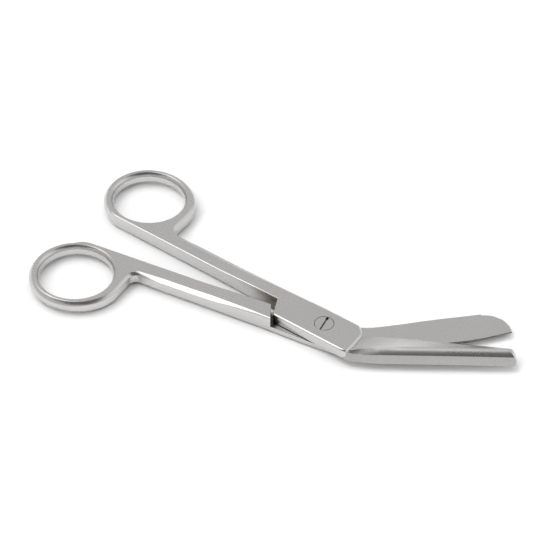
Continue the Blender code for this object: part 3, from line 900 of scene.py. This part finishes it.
def edgeWearAndShadeGroup():
    # brighter where a hand or a tray rubs (real wear); painted shade, darkened towards near black where two
    # faces nearly meet and little light gets in
    outputs = (("Worn", "Float"), ("Painted Gap Shade", "Float"))
    group, source, target = newGroup("worn edges and painted gap shade", satinSteel["edges"].items(), outputs)
    rounded = addNode(group, "ShaderNodeBevel", {"Radius": source["Edge Radius"]}, samples=4).outputs[0]
    flat = addNode(group, "ShaderNodeNewGeometry").outputs["Normal"]
    edge = addMap(group, addDot(group, rounded, flat), *wearAndShade["edgeTurn"])
    place = addNode(group, "ShaderNodeTexCoord").outputs["Object"]
    patchy = addMap(group, addNoise(group, place, wearAndShade["patches"]), *wearAndShade["patchRange"])
    kept = addMix(group, "FLOAT", source["Edge Patchiness"], 1.0, patchy)
    reach = {"Distance": source["Painted Gap Shade Reach"]}
    # painted shade: occlusion decides where the near-black crease colour goes
    light = addNode(group, "ShaderNodeAmbientOcclusion", reach, samples=8).outputs["AO"]
    group.links.new(addMath(group, "MULTIPLY", edge, kept), target["Worn"])
    group.links.new(addMap(group, light, *wearAndShade["gapShadeRange"]), target["Painted Gap Shade"])
    return group


def shoulderShadeGroup():
    # painted shade: the walls by the shoulders, which the joint shades, are darkened brown towards a given
    # centre
    outputs = (("Painted Shoulder Shade", "Float"),)
    group, source, target = newGroup("painted shoulder shade", satinSteel["shoulderShade"].items(), outputs)
    place = addNode(group, "ShaderNodeTexCoord").outputs["Object"]
    between = addNode(group, "ShaderNodeVectorMath", {0: place, 1: source["Centre"]}, operation="DISTANCE")
    away = addMath(group, "MULTIPLY", between.outputs["Value"], millimetresPerMetre)
    near = addMap(group, away, source["Inner"], source["Outer"], 1.0, 0.0)
    normal = addNode(group, "ShaderNodeNewGeometry").outputs["Normal"]
    wall = addMap(group, addDot(group, normal, source["Facing"]), *wearAndShade["shadedWall"])
    group.links.new(addMath(group, "MULTIPLY", near, wall), target["Painted Shoulder Shade"])
    return group


satin = satinGroup()
edges = edgeWearAndShadeGroup()
shoulderShadeNodes = shoulderShadeGroup()


def makeSteel(name, spec):
    material = bpy.data.materials.new(name)
    material.use_nodes = True
    tree = material.node_tree
    shader = tree.nodes["Principled BSDF"]
    shader.inputs["Metallic"].default_value = 1.0
    shoulderShade = addNode(tree, "ShaderNodeGroup", spec["shoulderShade"], node_tree=shoulderShadeNodes)
    grain = addNode(tree, "ShaderNodeGroup", spec["satin"], node_tree=satin)
    rubbedAndShaded = addNode(tree, "ShaderNodeGroup", spec["edges"], node_tree=edges)
    tone = addMap(tree, grain.outputs["Clouds"], *spec["cloudRange"])
    colour = addMix(tree, "RGBA", tone, spec["cool"], spec["warm"])
    streak = addMap(tree, grain.outputs["Streaks"], *spec["streakRange"])
    faint = addMath(tree, "MULTIPLY", streak, spec["streakShare"])
    colour = addMix(tree, "RGBA", faint, colour, spec["polished"])
    colour = addMix(tree, "RGBA", rubbedAndShaded.outputs["Worn"], colour, spec["polished"])
    # painted shade on the walls by the shoulders
    colour = addMix(tree, "RGBA", shoulderShade.outputs["Painted Shoulder Shade"], colour, spec["shoulderShadeColour"])
    # painted shade in creases and enclosed gaps, by ambient occlusion
    colour = addMix(tree, "RGBA", rubbedAndShaded.outputs["Painted Gap Shade"], colour, spec["gapShadeColour"])
    tree.links.new(colour, shader.inputs["Base Color"])
    mixed = addMix(tree, "FLOAT", 0.5, streak, tone)
    rough = addMap(tree, mixed, 0.0, 1.0, *spec["roughness"])
    rough = addMix(tree, "FLOAT", rubbedAndShaded.outputs["Worn"], rough, spec["wornRoughness"])
    tree.links.new(rough, shader.inputs["Roughness"])
    bump = addNode(tree, "ShaderNodeBump", {"Strength": spec["bump"], "Distance": spec["bumpDepth"],
                                            "Height": grain.outputs["Height"]})
    tree.links.new(bump.outputs["Normal"], shader.inputs["Normal"])
    return material


upperSteel = {
    **satinSteel,
    # painted shade on the upper half's inner wall by the joint
    "shoulderShadeColour": (0.21, 0.18, 0.155, 1),
    "satin": {**satinSteel["satin"], "Direction": math.radians(joint["opening"])},
    "shoulderShade": {"Centre": (-0.0175, 0.0030, 0.0025), "Inner": 2.5, "Outer": 10.0, "Facing": (0.0, -1.0, 0.0)},
}
screwSteel = {
    **satinSteel,
    "roughness": (0.20, 0.27),
    "satin": {**satinSteel["satin"], "Scratch Spacing": 14.0},
    "shoulderShade": {"Centre": (0.0, 0.0, 0.005), "Inner": 3.0, "Outer": 4.0, "Facing": (0.0, 0.0, -1.0)},
}
honedSteel = {
    **satinSteel,
    "roughness": (0.10, 0.42),
    "bump": 0.6,
    "bumpDepth": 0.00005,
    "satin": {"Direction": 0.0, "Scratch Length": 0.9, "Scratch Spacing": 3.0, "Speckle": 3.0, "Cloud": 0.9},
}
honedLand = {"from": 0.0145, "height": 0.0021, "within": 0.0002, "facing": (0.5, 0.95)}   # lengths in metres


def honedFaces(item):
    # the narrow facet that is whetted along the cutting edge
    item.data.materials.append(makeSteel(item.name + "_honed", honedSteel))
    low, high = honedLand["facing"]
    for face in item.data.polygons:
        level = abs(face.center.z - honedLand["height"]) < honedLand["within"]
        if level and face.center.x > honedLand["from"] and low < face.normal.z < high:
            face.material_index = 1


for item, steel in ((lowerItem, satinSteel), (upperItem, upperSteel), (screwItem, screwSteel)):
    item.data.materials.clear()
    item.data.materials.append(makeSteel(item.name + "_steel", steel))
honedFaces(lowerItem)
print("steel done")
